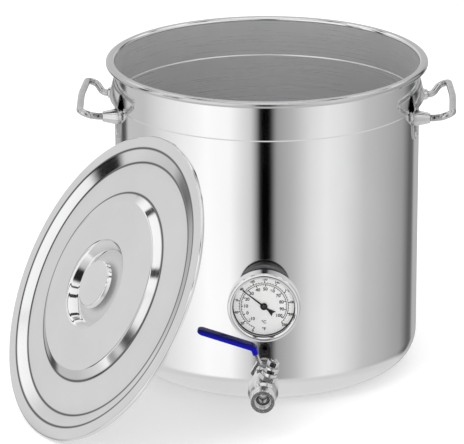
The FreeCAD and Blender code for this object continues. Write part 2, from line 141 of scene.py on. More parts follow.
def rounded_route(points, radii, steps=8, support=0.6):
    """(place, left-hand normal) pairs along straight runs joined by tangent arcs, in millimetres."""
    points = [Vector(p) for p in points]
    pairs = []

    def add_run(start, end):
        run = end - start
        if run.length < 1e-4:
            return
        normal = left_of(run.normalized())
        edge = min(support, run.length / 3)
        for place in (0.0, edge, run.length - edge, run.length):
            pairs.append((start + run.normalized() * place, normal))

    last = points[0]
    for before, at, after, radius in zip(points, points[1:], points[2:], radii):
        into = (at - before).normalized()
        out = (after - at).normalized()
        turn = math.atan2(into.x * out.y - into.y * out.x, into.dot(out))
        cut = radius * math.tan(abs(turn) / 2)
        start = at - into * cut
        add_run(last, start)
        side = math.copysign(1.0, turn)
        centre = start + left_of(into) * radius * side
        for step in range(steps + 1):
            normal = Matrix.Rotation(turn * step / steps, 2) @ left_of(into)
            pairs.append((centre - normal * radius * side, normal))
        last = at + out * cut
    add_run(last, points[-1])
    return pairs


def without_repeats(outline):
    kept = []
    for point in outline:
        if not kept or (point - kept[-1]).length > 1e-3:
            kept.append(point)
    return kept


def sheet_loop(points, radii, thickness, steps=8):
    """Closed outline of a sheet of constant thickness along a route, as (radius, height) in millimetres."""
    pairs = rounded_route(points, radii, steps)
    one_side = [p + n * thickness / 2 for p, n in pairs]
    other_side = [p - n * thickness / 2 for p, n in reversed(pairs)]
    return without_repeats(one_side + other_side)


def lathe(name, outline, segments, place=None, sharp_angle=30.0):
    """Turns a closed (radius, height) outline in millimetres about the local Z axis."""
    verts = []
    rings = []
    for point in outline:
        if point.x < 1e-3:
            rings.append([len(verts)] * segments)
            verts.append(Vector((0, 0, point.y * MM)))
            continue
        rings.append(list(range(len(verts), len(verts) + segments)))
        for k in range(segments):
            angle = FULL_TURN * k / segments
            verts.append(Vector((point.x * math.cos(angle), point.x * math.sin(angle), point.y)) * MM)
    faces = []
    for one, two in zip(rings, rings[1:] + rings[:1]):
        for k in range(segments):
            after = (k + 1) % segments
            distinct = list(dict.fromkeys([one[k], one[after], two[after], two[k]]))
            if len(distinct) > 2:
                faces.append(distinct)
    return mesh_object(name, verts, faces, sharp_angle, place)


def tube_of_rings(name, rings, sharp_angle=40.0, place=None):
    """Closed skin over a row of rings with equal numbers of points, with flat ends."""
    count = len(rings[0])
    verts = [point for ring in rings for point in ring]
    faces = []
    for row in range(len(rings) - 1):
        for k in range(count):
            after = (k + 1) % count
            first = row * count
            second = first + count
            faces.append([first + k, first + after, second + after, second + k])
    last = (len(rings) - 1) * count
    faces.append(list(range(count)))
    faces.append(list(range(last, last + count)))
    return mesh_object(name, verts, faces, sharp_angle, place)


# (share of the ridge's height, share of its pitch) across the ridge
THREAD_RIDGE = [(0, -0.44), (1, -0.07), (1, 0.07), (0, 0.44)]
THREAD_SUNK = 0.05


def thread(name, radius, pitch, height, start, length, place, per_turn=36):
    """One winding ridge along the local Z axis, in millimetres, that fades out over a quarter turn.

    A negative height points it inwards.
    """
    count = int(length / pitch * per_turn)
    root = radius - math.copysign(THREAD_SUNK, height)
    rings = []
    for k in range(count + 1):
        angle = FULL_TURN * k / per_turn
        fade = min(1.0, 4 * k / per_turn, 4 * (count - k) / per_turn)
        ring = []
        for lift, shift in THREAD_RIDGE:
            reach = root + lift * (height * fade + radius - root)
            along = start + pitch * (k / per_turn + shift)
            ring.append(Vector((reach * math.cos(angle), reach * math.sin(angle), along)) * MM)
        rings.append(ring)
    return tube_of_rings(name, rings, 25, place)


# Material nodes

def material(name, base, metallic, roughness, **sockets):
    mat = bpy.data.materials.new(name)
    mat.use_nodes = True
    shader = mat.node_tree.nodes["Principled BSDF"]
    shader.inputs["Base Color"].default_value = (*base, 1)
    shader.inputs["Metallic"].default_value = metallic
    shader.inputs["Roughness"].default_value = roughness
    for socket, value in sockets.items():
        shader.inputs[socket.replace("_", " ")].default_value = value
    return mat, mat.node_tree, shader


def add(tree, kind, **settings):
    node = tree.nodes.new(kind)
    for key, value in settings.items():
        setattr(node, key, value)
    return node


def local_coordinates(tree, place):
    """Object coordinates, measured in a local frame where one is given."""
    source = add(tree, "ShaderNodeTexCoord").outputs["Object"]
    if place is None:
        return source
    inverse = add(tree, "ShaderNodeMapping", vector_type="TEXTURE")
    inverse.inputs["Location"].default_value = place.to_translation()
    inverse.inputs["Rotation"].default_value = place.to_euler()
    tree.links.new(source, inverse.inputs["Vector"])
    return inverse.outputs["Vector"]


def scaled_coordinates(tree, scale, place=None):
    mapping = add(tree, "ShaderNodeMapping")
    mapping.inputs["Scale"].default_value = scale
    tree.links.new(local_coordinates(tree, place), mapping.inputs["Vector"])
    return mapping.outputs["Vector"]


def flat_coordinates(tree, place):
    """Coordinates in a local frame without their height along its Z axis."""
    flat = add(tree, "ShaderNodeVectorMath", operation="MULTIPLY")
    flat.inputs[1].default_value = (1, 1, 0)
    tree.links.new(local_coordinates(tree, place), flat.inputs[0])
    return flat.outputs[0]


def length_of(tree, vector):
    node = add(tree, "ShaderNodeVectorMath", operation="LENGTH")
    tree.links.new(vector, node.inputs[0])
    return node.outputs["Value"]


def radial_coordinates(tree, radial_scale, around_scale, place=None):
    """Distance from the local Z axis, stretched, so that noise on it draws turned rings."""
    flat = flat_coordinates(tree, place)
    unit = add(tree, "ShaderNodeVectorMath", operation="NORMALIZE")
    tree.links.new(flat, unit.inputs[0])
    around = add(tree, "ShaderNodeVectorMath", operation="SCALE")
    around.inputs["Scale"].default_value = around_scale
    tree.links.new(unit.outputs[0], around.inputs[0])
    split = add(tree, "ShaderNodeSeparateXYZ")
    tree.links.new(around.outputs[0], split.inputs[0])
    stretch = add(tree, "ShaderNodeMath", operation="MULTIPLY")
    stretch.inputs[1].default_value = radial_scale
    tree.links.new(length_of(tree, flat), stretch.inputs[0])
    joined = add(tree, "ShaderNodeCombineXYZ")
    tree.links.new(split.outputs["X"], joined.inputs["X"])
    tree.links.new(split.outputs["Y"], joined.inputs["Y"])
    tree.links.new(stretch.outputs[0], joined.inputs["Z"])
    return joined.outputs[0]


def noise(tree, vector, detail):
    """Noise of one cell per unit of its coordinates, which carry the scale."""
    node = add(tree, "ShaderNodeTexNoise")
    node.inputs["Scale"].default_value = 1.0
    node.inputs["Detail"].default_value = detail
    tree.links.new(vector, node.inputs["Vector"])
    return node.outputs["Fac"]


# Noise hardly leaves this range
NOISE_LOW = 0.3
NOISE_HIGH = 0.7


def map_range(tree, value, source, target, **settings):
    """Maps the range source, as (low, high), onto the range target."""
    node = add(tree, "ShaderNodeMapRange", **settings)
    node.inputs["From Min"].default_value, node.inputs["From Max"].default_value = source
    node.inputs["To Min"].default_value, node.inputs["To Max"].default_value = target
    tree.links.new(value, node.inputs["Value"])
    return node.outputs[0]


def spread(tree, value, low, high):
    return map_range(tree, value, (NOISE_LOW, NOISE_HIGH), (low, high))


def bump(tree, shader, value, strength, distance):
    node = add(tree, "ShaderNodeBump")
    node.inputs["Strength"].default_value = strength
    node.inputs["Distance"].default_value = distance
    tree.links.new(value, node.inputs["Height"])
    tree.links.new(node.outputs[0], shader.inputs["Normal"])


def tint(tree, shader, value, dark, light):
    ramp = add(tree, "ShaderNodeValToRGB")
    ramp.color_ramp.elements[0].position = NOISE_LOW
    ramp.color_ramp.elements[0].color = (*dark, 1)
    ramp.color_ramp.elements[1].position = NOISE_HIGH
    ramp.color_ramp.elements[1].color = (*light, 1)
    tree.links.new(value, ramp.inputs["Fac"])
    tree.links.new(ramp.outputs["Color"], shader.inputs["Base Color"])


def grey(level, blue=0.005):
    return (level, level, level + blue)


def wall_steel():
    """Rolled and polished sheet: fine lines round the pot, faint waviness and handling marks."""
    mat, tree, shader = material("wall_steel", grey(0.82), 1.0, 0.08)
    lines = noise(tree, scaled_coordinates(tree, (6, 6, 900)), detail=3.0)
    smudges = noise(tree, scaled_coordinates(tree, (14, 14, 9)), detail=5.0)
    tint(tree, shader, smudges, grey(0.80), grey(0.84))
    tree.links.new(spread(tree, smudges, 0.06, 0.10), shader.inputs["Roughness"])
    bump(tree, shader, lines, strength=0.03, distance=0.0002)
    return mat


def inner_steel():
    """Satin inside of the pot: fine lines round it, and a soft sheen."""
    mat, tree, shader = material("inner_steel", grey(0.74), 0.72, 0.32)
    lines = noise(tree, scaled_coordinates(tree, (8, 8, 1400)), detail=3.0)
    patches = noise(tree, scaled_coordinates(tree, (10, 10, 10)), detail=4.0)
    tint(tree, shader, patches, grey(0.72), grey(0.77))
    tree.links.new(spread(tree, lines, 0.26, 0.36), shader.inputs["Roughness"])
    bump(tree, shader, lines, strength=0.04, distance=0.0002)
    return mat


def colour_sockets(sockets):
    return [socket for socket in sockets if socket.type == "RGBA"]


def shade_base(tree, shader, shade):
    """Multiplies the base colour by a colour or a level."""
    base = shader.inputs["Base Color"]
    source = base.links[0].from_socket
    shaded = add(tree, "ShaderNodeMix", data_type="RGBA", blend_type="MULTIPLY")
    shaded.inputs["Factor"].default_value = 1.0
    for value, socket in zip((source, shade), colour_sockets(shaded.inputs)):
        tree.links.new(value, socket)
    tree.links.new(colour_sockets(shaded.outputs)[0], base)


# Radii on the lid, in millimetres: the far end of the shading ramp, and the pressed creases
CREASE_SPAN = 200.0
LID_CREASES = [112.6, 151.2, 166.8]


def crease_shade(tree, shader, place, creases, half_width, depth):
    """Paints narrow dark rings of painted shade into the base colour at the pressed creases."""
    share = add(tree, "ShaderNodeMath", operation="DIVIDE")
    share.inputs[1].default_value = CREASE_SPAN * MM
    tree.links.new(length_of(tree, flat_coordinates(tree, place)), share.inputs[0])
    ramp = add(tree, "ShaderNodeValToRGB")
    elements = ramp.color_ramp.elements
    elements[1].position = 1.0
    elements[0].color = (1, 1, 1, 1)
    steps = ((-half_width, 1), (-half_width / 3, depth), (half_width / 3, depth), (half_width, 1))
    for radius in creases:
        for offset, level in steps:
            elements.new((radius + offset) / CREASE_SPAN).color = (level, level, level, 1)
    tree.links.new(share.outputs[0], ramp.inputs["Fac"])
    shade_base(tree, shader, ramp.outputs["Color"])


# Shares of open sky, from a deep crevice to open metal
CREVICE_RANGE = (0.35, 0.90)


def crevice_shade(tree, shader, reach, depth):
    """Darkens the base colour where other surfaces stand close by."""
    near = add(tree, "ShaderNodeAmbientOcclusion", samples=4)
    near.inputs["Distance"].default_value = reach
    shade_base(tree, shader, map_range(tree, near.outputs["AO"], CREVICE_RANGE, (depth, 1.0)))


def lid_steel():
    mat = ringed_steel("lid_steel", 0.80, 0.05, 0.09, 900, 0.02, LID_FRAME)
    tree = mat.node_tree
    shader = tree.nodes["Principled BSDF"]
    # Painted shade: dark rings at the creases, and darkening where other surfaces stand close by, such as
    # round the knob.
    crease_shade(tree, shader, LID_FRAME, LID_CREASES, half_width=1.9, depth=0.15)
    crevice_shade(tree, shader, reach=18 * MM, depth=0.25)
    return mat


def ringed_steel(name, level, low, high, ring_scale=900, ring_bump=0.04, place=None):
    """Spun or turned steel: fine rings about the local axis."""
    mat, tree, shader = material(name, grey(level), 1.0, (low + high) / 2)
    rings = noise(tree, radial_coordinates(tree, ring_scale, 0.6, place), detail=3.0)
    patches = noise(tree, scaled_coordinates(tree, (22, 22, 22)), detail=4.0)
    tint(tree, shader, patches, grey(level - 0.015), grey(level + 0.015))
    tree.links.new(spread(tree, rings, low, high), shader.inputs["Roughness"])
    bump(tree, shader, rings, strength=ring_bump, distance=0.0002)
    return mat


def plain_steel(name, level, low, high, grain=400, grain_bump=0.05, stretch=(1, 1, 1)):
    """Turned, drawn or cast steel, by the size and stretch of its grain."""
    mat, tree, shader = material(name, grey(level), 1.0, (low + high) / 2)
    fine = noise(tree, scaled_coordinates(tree, tuple(grain * s for s in stretch)), detail=4.0)
    patches = noise(tree, scaled_coordinates(tree, (60, 60, 60)), detail=3.0)
    tint(tree, shader, patches, grey(level - 0.05), grey(level + 0.03))
    crevice_shade(tree, shader, reach=7 * MM, depth=0.12)
    tree.links.new(spread(tree, fine, low, high), shader.inputs["Roughness"])
    bump(tree, shader, fine, strength=grain_bump, distance=0.0003)
    return mat


def vinyl():
    """Dipped vinyl: soft gloss, faint ripples, and painted shade and light that make it nearly black where it
    faces up and bright blue at its sides.
    """
    mat, tree, shader = material("blue_vinyl", (0.0, 0.001, 0.10), 0.0, 0.35)
    ripples = noise(tree, scaled_coordinates(tree, (140, 140, 140)), detail=3.0)
    pores = noise(tree, scaled_coordinates(tree, (1500, 1500, 1500)), detail=2.0)
    split = add(tree, "ShaderNodeSeparateXYZ")
    tree.links.new(add(tree, "ShaderNodeNewGeometry").outputs["Normal"], split.inputs[0])
    # Painted shade and light: the colour follows the way the surface faces, dark on top and bright blue at
    # the sides.
    sides = map_range(tree, split.outputs["Z"], (0.20, 0.80), (0.62, 0.20))
    rippled = add(tree, "ShaderNodeMath", operation="MULTIPLY_ADD")
    rippled.inputs[1].default_value = 0.2
    tree.links.new(ripples, rippled.inputs[0])
    tree.links.new(sides, rippled.inputs[2])
    tint(tree, shader, rippled.outputs[0], (0.0, 0.0, 0.075), (0.0, 0.001, 0.32))
    shader.inputs["Specular IOR Level"].default_value = 0.12
    tree.links.new(spread(tree, ripples, 0.28, 0.42), shader.inputs["Roughness"])
    bump(tree, shader, pores, strength=0.12, distance=0.0002)
    return mat


def soft_plastic(name, dark, light, roughness):
    mat, tree, shader = material(name, light, 0.0, roughness)
    grain = noise(tree, scaled_coordinates(tree, (500, 500, 500)), detail=3.0)
    tint(tree, shader, grain, dark, light)
    tree.links.new(spread(tree, grain, roughness - 0.06, roughness + 0.08), shader.inputs["Roughness"])
    bump(tree, shader, grain, strength=0.1, distance=0.0002)
    return mat


def lens_glass():
    """Thin flat glass: clear, with a faint gloss that grows towards grazing views."""
    mat = bpy.data.materials.new("lens_glass")
    mat.use_nodes = True
    tree = mat.node_tree
    tree.nodes.remove(tree.nodes["Principled BSDF"])
    clear = add(tree, "ShaderNodeBsdfTransparent")
    clear.inputs["Color"].default_value = (0.995, 0.995, 0.995, 1)
    gloss = add(tree, "ShaderNodeBsdfGlossy")
    gloss.inputs["Roughness"].default_value = 0.02
    edge = add(tree, "ShaderNodeFresnel")
    edge.inputs["IOR"].default_value = 1.25
    mixed = add(tree, "ShaderNodeMixShader")
    tree.links.new(edge.outputs[0], mixed.inputs[0])
    tree.links.new(clear.outputs[0], mixed.inputs[1])
    tree.links.new(gloss.outputs[0], mixed.inputs[2])
    tree.links.new(mixed.outputs[0], tree.nodes["Material Output"].inputs["Surface"])
    return mat


def all_finishes():
    return {
        "polished_wall": wall_steel(),
        "inner_wall": inner_steel(),
        "lid_steel": lid_steel(),
        "rim_steel": ringed_steel("rim_steel", 0.60, 0.08, 0.14),
        "knob_steel": ringed_steel("knob_steel", 0.82, 0.05, 0.10, 1500, 0.03, LID_FRAME),
        "bezel_steel": ringed_steel("bezel_steel", 0.74, 0.06, 0.12, 2500, 0.04, DIAL_FRAME),
        "base_steel": ringed_steel("base_steel", 0.70, 0.25, 0.38),
        "bright_steel": plain_steel("bright_steel", 0.70, 0.08, 0.16, 300, 0.03),
        "rod_steel": plain_steel("rod_steel", 0.58, 0.05, 0.10, 500, 0.02),
        "rivet_steel": plain_steel("rivet_steel", 0.76, 0.12, 0.24),
        "cast_steel": plain_steel("cast_steel", 0.76, 0.18, 0.28, 700, 0.05),
        "stem_steel": plain_steel("stem_steel", 0.78, 0.10, 0.20),
        "lever_steel": plain_steel("lever_steel", 0.76, 0.18, 0.30, 300, 0.06, (0.2, 3, 3)),
        "gauge_steel": plain_steel("gauge_steel", 0.76, 0.15, 0.28),
        # Near black: painted shade, so that the thermometer case draws a dark outline round the gauge.
        "case_steel": plain_steel("case_steel", 0.20, 0.30, 0.45),
        "ball_steel": plain_steel("ball_steel", 0.86, 0.03, 0.08, 200, 0.01),
        "core_aluminium": plain_steel("core_aluminium", 0.80, 0.3, 0.45),
        "bimetal": plain_steel("bimetal", 0.60, 0.3, 0.4),
        "ptfe": soft_plastic("ptfe", (0.80, 0.80, 0.77), (0.88, 0.88, 0.86), 0.35),
        "silicone": soft_plastic("silicone", (0.60, 0.58, 0.53), (0.72, 0.70, 0.66), 0.55),
        "black_rubber": soft_plastic("black_rubber", (0.008, 0.008, 0.008), (0.02, 0.02, 0.02), 0.5),
        "blue_vinyl": vinyl(),
        "white_dial": soft_plastic("white_dial", (0.90, 0.90, 0.89), (0.93, 0.93, 0.92), 0.6),
        "black_paint": soft_plastic("black_paint", (0.006, 0.006, 0.007), (0.014, 0.014, 0.015), 0.45),
        "lens_glass": lens_glass(),
    }


def paint(obj, mat):
    obj.data.materials.clear()
    obj.data.materials.append(mat)


def ride_as(obj, body, slot, finishes, replaced=()):
    paint(obj, finishes[slot])
    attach(obj, body)
    if replaced:
        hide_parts(*replaced)
    return obj


def paint_cad_nodes(finishes):
    for entry in frame["record"]["subparts"]:
        paint(nodes[entry["node"]], finishes[entry["material_slot"]])
    # The thermometer case gets near-black steel as painted shade round the gauge.
    paint(nodes["thermometer_case"], finishes["case_steel"])


# Pot, lid and lever grip

# The pot's sheet, in millimetres
POT_SHEET = 1.2
BAND_STEP = 0.6
BAND_RISE = 1.4
STEP_R = 1.2
FLOOR_MIDDLE = 4.2
FLOOR_CORNER_R = 35.4
RIM_REACH = 9.8
RIM_DROP = 6.0
RIM_GAP = 2.4
RIM_R = 3.0
RIM_STARTS = 1.6
FLOOR_TOP = 50.0
INSIDE_BELOW_RIM = 4.0


def pot_wall(finishes):
    """The pot again, as a finely turned sheet with a rolled rim and a step below it."""
    wall = WALL_R / MM - POT_SHEET / 2
    band = wall + BAND_STEP
    top = POT_TOP / MM - POT_SHEET / 2
    low = top - RIM_DROP
    rim = wall + RIM_REACH
    step = (POT_TOP - STEP_BELOW_TOP) / MM
    points = [(0, FLOOR_MIDDLE), (wall, FLOOR_MIDDLE), (wall, step), (band, step + BAND_RISE), (band, top),
              (rim, top), (rim, low), (band + RIM_GAP, low)]
    outline = sheet_loop(points, [FLOOR_CORNER_R, STEP_R, STEP_R, RIM_R, RIM_R, RIM_R], POT_SHEET, steps=14)
    pot = ride_as(lathe("pot_wall", outline, 360), "kettle", "polished_wall", finishes, ["kettle_shell"])
    pot.data.materials.append(finishes["inner_wall"])
    pot.data.materials.append(finishes["rim_steel"])
    for polygon in pot.data.polygons:
        faces_axis = polygon.center.x * polygon.normal.x + polygon.center.y * polygon.normal.y < -1e-4
        is_floor = polygon.center.z < FLOOR_TOP * MM and polygon.normal.z > 0.2
        below_rim = polygon.center.z < POT_TOP - INSIDE_BELOW_RIM * MM
        if below_rim and (faces_axis or is_floor):
            polygon.material_index = 1
        elif polygon.center.xy.length > (band + RIM_STARTS) * MM:
            polygon.material_index = 2


def lid_sheet(finishes):
    """The lid again, with finely turned steps: its flange plane is z = 0 of the lid's frame."""
    edge = 181.5
    pan = [(0, -1.0), (45.0, -1.0), (52.8, 11.5)]
    rings = [(101.2, 6.0), (112.1, 0.0), (151.0, -6.0), (167.0, 0.0)]
    flange = [(edge, 0.0), (edge, -3.5)]
    bend_radii = [6.0, 5.0, 6.0, 6.0, 8.0, 6.0, 1.6]
    outline = sheet_loop(pan + rings + flange, bend_radii, thickness=1.0, steps=12)
    sheet = lathe("lid_sheet", outline, 300, LID_FRAME)
    ride_as(sheet, "lid", "lid_steel", finishes, ["lid_shell"])


def knob_cap(finishes):
    """Knob cap with a finely turned edge and a shallow dish in its top."""
    dish_and_skirt = [(0, 12.1), (14.0, 12.4), (27.0, 12.4), (28.0, 8.0)]
    outline = sheet_loop(dish_and_skirt, [30.0, 1.6], thickness=1.2, steps=10)
    cap = lathe("knob_cap", outline, 160, LID_FRAME)
    ride_as(cap, "lid", "knob_steel", finishes, ["lid_knob_cap"])


def grip_section(centre, sideways, upwards, half_width, half_height, points=28):
    """A rounded oblong ring, from a superellipse."""
    power = 0.55
    ring = []
    for k in range(points):
        angle = FULL_TURN * k / points
        across = math.copysign(abs(math.cos(angle)) ** power, math.cos(angle)) * half_width
        rise = math.copysign(abs(math.sin(angle)) ** power, math.sin(angle)) * half_height
        ring.append((centre + sideways * across + upwards * rise) * MM)
    return ring


def lever_grip(finishes):
    """Dipped grip: a rounded oblong that follows the lever's bend and closes in a round nose."""
    half_width = 8.25
    half_height = 3.4
    foot = Vector((-22.06, 41.39))
    bend = Vector((-27.0, 47.85))
    tip = Vector((-93.5, 47.85))
    pairs = rounded_route([foot, bend, tip], [6.0], 10)
    along = 0.0
    route = []
    last = pairs[0][0]
    for place, normal in pairs:
        along += (place - last).length
        last = place
        route.append((place, normal, along))
    total = along
    nose = 7.0
    lip = 1.2
    steps = 12
    stations = [(0.0, 0.86), (0.35, 0.94), (lip, 1.0)]
    stations += [(a, 1.0) for _, _, a in route if lip < a < total - nose]
    for k in range(steps + 1):
        angle = math.radians(90) * k / steps
        stations.append((total - nose + nose * math.sin(angle), max(0.04, math.cos(angle) ** 0.6)))
    rings = []
    for at, scale in sorted(stations):
        before = [r for r in route if r[2] <= at + 1e-6][-1]
        after = [r for r in route if r[2] >= at - 1e-6][0]
        gap = after[2] - before[2]
        share = 0 if gap < 1e-6 else (at - before[2]) / gap
        place = before[0].lerp(after[0], share)
        normal = before[1].lerp(after[1], share).normalized()
        centre = Vector((place.x, 0, place.y))
        upwards = Vector((normal.x, 0, normal.y))
        sideways = Vector((0, 1, 0))
        rings.append(grip_section(centre, sideways, upwards, half_width * scale, half_height * scale))
    grip = tube_of_rings("lever_grip", rings, 50, STEM_FRAME)
    ride_as(grip, "valve_lever", "blue_vinyl", finishes, ["lever_sleeve"])


# Threads, welds and the pointer's cap

# Half inch pipe thread and the stem's thread, in millimetres
PIPE_PITCH = 1.814
PIPE_BORE_R = 9.3
PIPE_BORE_RIDGE = -0.9
PIPE_R = 10.4
PIPE_RIDGE = 0.8
STEM_R = 3.5
STEM_PITCH = 1.0
STEM_RIDGE = 0.35


def threads(finishes):
    outlet = thread("outlet_thread", PIPE_BORE_R, PIPE_PITCH, PIPE_BORE_RIDGE,
                    VALVE_FRONT - 12.5, 11.2, VALVE_FRAME)
    ride_as(outlet, "kettle", "cast_steel", finishes)
    for name, start, length in (("nipple_thread", 192.2, 21.8), ("bulkhead_thread", 163.8, 3.6)):
        ridge = thread(name, PIPE_R, PIPE_PITCH, PIPE_RIDGE, start, length, VALVE_FRAME)
        ride_as(ridge, "kettle", "bright_steel", finishes)
    stem = thread("stem_thread", STEM_R, STEM_PITCH, STEM_RIDGE, 39.2, 1.5, STEM_FRAME, per_turn=24)
    ride_as(stem, "valve_lever", "stem_steel", finishes)


def weld_bead(name, place, finishes):
    """Rippled ring of weld where a rod leg enters its boss; the leg runs along the local Z axis."""
    around = 72
    across = 10
    ripple = 20
    ring_r = 5.0
    verts = []
    for k in range(around):
        angle = FULL_TURN * k / around
        bead_r = 1.05 + 0.12 * math.cos(ripple * angle)
        for j in range(across):
            turn = FULL_TURN * j / across
            reach = ring_r + bead_r * math.cos(turn)
            lift = bead_r * math.sin(turn)
            verts.append(Vector((reach * math.cos(angle), reach * math.sin(angle), lift)) * MM)
    faces = []
    for k in range(around):
        first = k * across
        second = (k + 1) % around * across
        for j in range(across):
            after = (j + 1) % across
            faces.append([first + j, first + after, second + after, second + j])
    ride_as(mesh_object(name, verts, faces, 60, place), "kettle", "cast_steel", finishes)


def weld_beads(finishes):
    leg_y = 49.0 * MM
    leg_z = POT_TOP - LEGS_BELOW_TOP
    boss_tip = 190.4 * MM
    for side, x in (("right", boss_tip), ("left", -boss_tip)):
        for end, y in (("front", -leg_y), ("rear", leg_y)):
            place = Matrix.Translation((x, y, leg_z)) @ Matrix.Rotation(math.radians(90), 4, "Y")
            weld_bead("weld_bead_%s_%s" % (side, end), place, finishes)


def pointer_cap(finishes):
    """Small domed cap over the pointer's boss."""
    radius = 2.3
    height = 0.8
    sunk = 0.4
    front = -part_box("pointer")[0].y / MM
    dome = [Vector((0, front - sunk)), Vector((radius, front - sunk))]
    for degrees in range(0, 90, 10):
        angle = math.radians(degrees)
        dome.append(Vector((radius * math.cos(angle), front + height * math.sin(angle))))
    dome.append(Vector((0, front + height)))
    cap = lathe("pointer_cap", dome, 48, DIAL_FRAME, 50)
    ride_as(cap, "pointer", "gauge_steel", finishes)


# Dial printing

def dial_point(radius, clockwise, out=0.0):
    """A place on the dial, in millimetres from its centre and degrees clockwise from the top."""
    angle = math.radians(clockwise)
    reach = radius * PRINT_SCALE * MM
    x = DIAL_CENTRE.x + reach * math.sin(angle)
    z = DIAL_CENTRE.z + reach * math.cos(angle)
    return Vector((x, DIAL_FACE_Y - out * MM, z))


PRINT_BACK = 0.01
PRINT_FRONT = 0.06


def dial_slabs(outlines):
    """Thin closed slabs lying on the dial, each from a list of (radius, clockwise angle) corners."""
    verts = []
    faces = []
    for corners in outlines:
        count = len(corners)
        first = len(verts)
        verts += [dial_point(r, a, PRINT_BACK) for r, a in corners]
        verts += [dial_point(r, a, PRINT_FRONT) for r, a in corners]
        faces.append(list(range(first, first + count)))
        faces.append(list(range(first + 2 * count - 1, first + count - 1, -1)))
        for k in range(count):
            after = (k + 1) % count
            faces.append([first + k, first + count + k, first + count + after, first + after])
    return verts, faces


def tick(inner, outer, clockwise, width):
    at_inner = math.degrees(width / 2 / inner)
    at_outer = math.degrees(width / 2 / outer)
    return [(inner, clockwise - at_inner), (inner, clockwise + at_inner),
            (outer, clockwise + at_outer), (outer, clockwise - at_outer)]


def arc_band(radius, width, start, end, step=2.0):
    count = max(2, int(abs(end - start) / step))
    low = radius - width / 2
    high = radius + width / 2
    edges = [start + (end - start) * k / count for k in range(count + 1)]
    return [[(low, a), (low, b), (high, b), (high, a)] for a, b in zip(edges, edges[1:])]


def celsius_angle(value):
    """Degrees clockwise from the top, on a scale that starts at -10."""
    return -138.3 + 2.38 * (value + 10)


def fahrenheit_angle(value):
    """Degrees clockwise from the top, on a scale that starts at 0."""
    return -157.0 + 1.323 * value


# Radii, line widths and letter sizes of the print, in millimetres
CELSIUS_R = 25.3
CELSIUS_NUMBERS_R = 20.0
CELSIUS_SIZE = 5.2
FAHRENHEIT_R = 27.0
FAHRENHEIT_NUMBERS_R = 31.5
FAHRENHEIT_SIZE = 4.1
SIGN_SIZE = 5.0
CELSIUS_LONG_TICK = 2.4
FAHRENHEIT_LONG_TICK = 2.5
SHORT_TICK = 1.4
BORDER_R = 34.3
BORDER = 1.5
LINE = 0.6
FINE_TICK = 0.42
BOLD_TICK = 1.05


def dial_marks(finishes):
    outlines = arc_band(CELSIUS_R, LINE, celsius_angle(-10), celsius_angle(100))
    for value in range(-10, 101, 2):
        bold = value % 10 == 0
        inner = CELSIUS_R - (CELSIUS_LONG_TICK if bold else SHORT_TICK)
        outlines.append(tick(inner, CELSIUS_R, celsius_angle(value), BOLD_TICK if bold else FINE_TICK))
    outlines += arc_band(FAHRENHEIT_R, LINE, fahrenheit_angle(0), fahrenheit_angle(220))
    for value in range(0, 221, 5):
        bold = value % 20 == 0
        outer = FAHRENHEIT_R + (FAHRENHEIT_LONG_TICK if bold else SHORT_TICK)
        outlines.append(tick(FAHRENHEIT_R, outer, fahrenheit_angle(value), BOLD_TICK if bold else FINE_TICK))
    outlines += arc_band(BORDER_R, BORDER, 0, 360)
    verts, faces = dial_slabs(outlines)
    ride_as(mesh_object("dial_marks", verts, faces), "kettle", "black_paint", finishes)


def dial_label(name, text, radius, clockwise, size, finishes):
    curve = bpy.data.curves.new(name, "FONT")
    curve.body = text
    curve.size = size * MM
    curve.align_x = "CENTER"
    curve.align_y = "CENTER"
    curve.extrude = 0.02 * MM
    curve.offset = 0.17 * MM
    flat = new_object(name, curve)
    bpy.context.view_layer.update()
    mesh = bpy.data.meshes.new_from_object(flat)
    bpy.data.objects.remove(flat)
    mesh.transform(front_frame(dial_point(radius, clockwise, 0.05)))
    ride_as(new_object(name, mesh), "kettle", "black_paint", finishes)


def dial_numbers(finishes):
    for value in range(-10, 101, 10):
        name = "celsius_%03d" % (value + 10)
        dial_label(name, str(value), CELSIUS_NUMBERS_R, celsius_angle(value), CELSIUS_SIZE, finishes)
    for value in range(0, 221, 20):
        name = "fahrenheit_%03d" % value
        dial_label(name, str(value), FAHRENHEIT_NUMBERS_R, fahrenheit_angle(value), FAHRENHEIT_SIZE, finishes)
    dial_label("celsius_sign", "°C", 18.8, 180, SIGN_SIZE, finishes)
    dial_label("fahrenheit_sign", "°F", 27.0, 180, SIGN_SIZE, finishes)


# Studio

def floor_paint():
    mat, tree, shader = material("floor_paint", (0.94, 0.94, 0.94), 0.0, 0.7)
    speck = noise(tree, scaled_coordinates(tree, (3, 3, 3)), detail=2.0)
    tint(tree, shader, speck, (0.93, 0.93, 0.93), (0.95, 0.95, 0.95))
    shader.inputs["Emission Color"].default_value = (1, 1, 1, 1)
    shader.inputs["Emission Strength"].default_value = 0.22
    return mat


def floor():
    half = 30.0
    corners = [(-half, -half, 0), (half, -half, 0), (half, half, 0), (-half, half, 0)]
    obj = mesh_object("floor", corners, [(0, 1, 2, 3)])
    paint(obj, floor_paint())
    obj.visible_glossy = False


# The room as the steel mirrors it: (degrees round it from the front towards +X, brightness).
# The low ring is what upright walls mirror
LOW_BOXES = [
    (-180, 0.35), (-158, 0.50), (-147, 0.45), (-140, 0.08), (-134, 0.12), (-128, 0.62), (-105, 0.62),
    (-80, 0.88), (-60, 1.05), (-45, 1.20), (-27, 1.15), (-19, 0.92), (-11, 0.72), (-7, 0.35), (-4, 0.0),
    (3.5, 0.0), (8, 0.38), (20, 0.54), (34, 0.84), (46, 0.97), (60, 0.88), (80, 0.62), (105, 0.49),
    (125, 0.38), (138, 0.14), (145, 0.14), (152, 0.50), (166, 0.48), (180, 0.35)]
